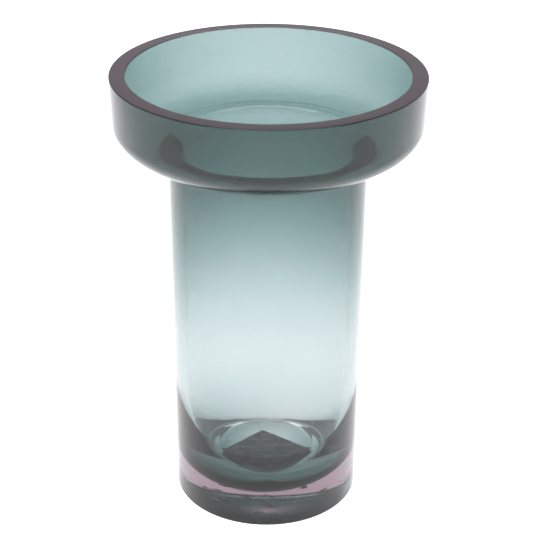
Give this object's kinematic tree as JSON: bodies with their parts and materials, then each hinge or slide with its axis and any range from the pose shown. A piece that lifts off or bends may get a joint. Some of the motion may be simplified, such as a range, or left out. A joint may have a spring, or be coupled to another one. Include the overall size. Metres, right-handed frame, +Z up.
{
  "type": "glass cylinder vase",
  "caption": "Tall cased-glass cylinder vase: smoky teal lining in faintly purple clear glass, wide shallow dish mouth with a flat cut rim, thick foot with a paper label beneath.",
  "frame": {"origin": "on the axis of the tube, in the plane of the foot ring that the vase rests on", "axes": "+Z up along the axis of the tube, from the foot to the rim; +X to the right and -Y to the front"},
  "size_m": [0.133, 0.133, 0.2],
  "materials": {
    "clear_glass": "polished",
    "teal_glass": "polished",
    "label_adhesive": "tacky film",
    "label_paper": "matt printed"
  },
  "bodies": {
    "root": {"clear_casing": "clear_glass", "tinted_lining": "teal_glass", "label_adhesive": "label_adhesive", "label_paper": "label_paper"}
  },
  "joints": []
}
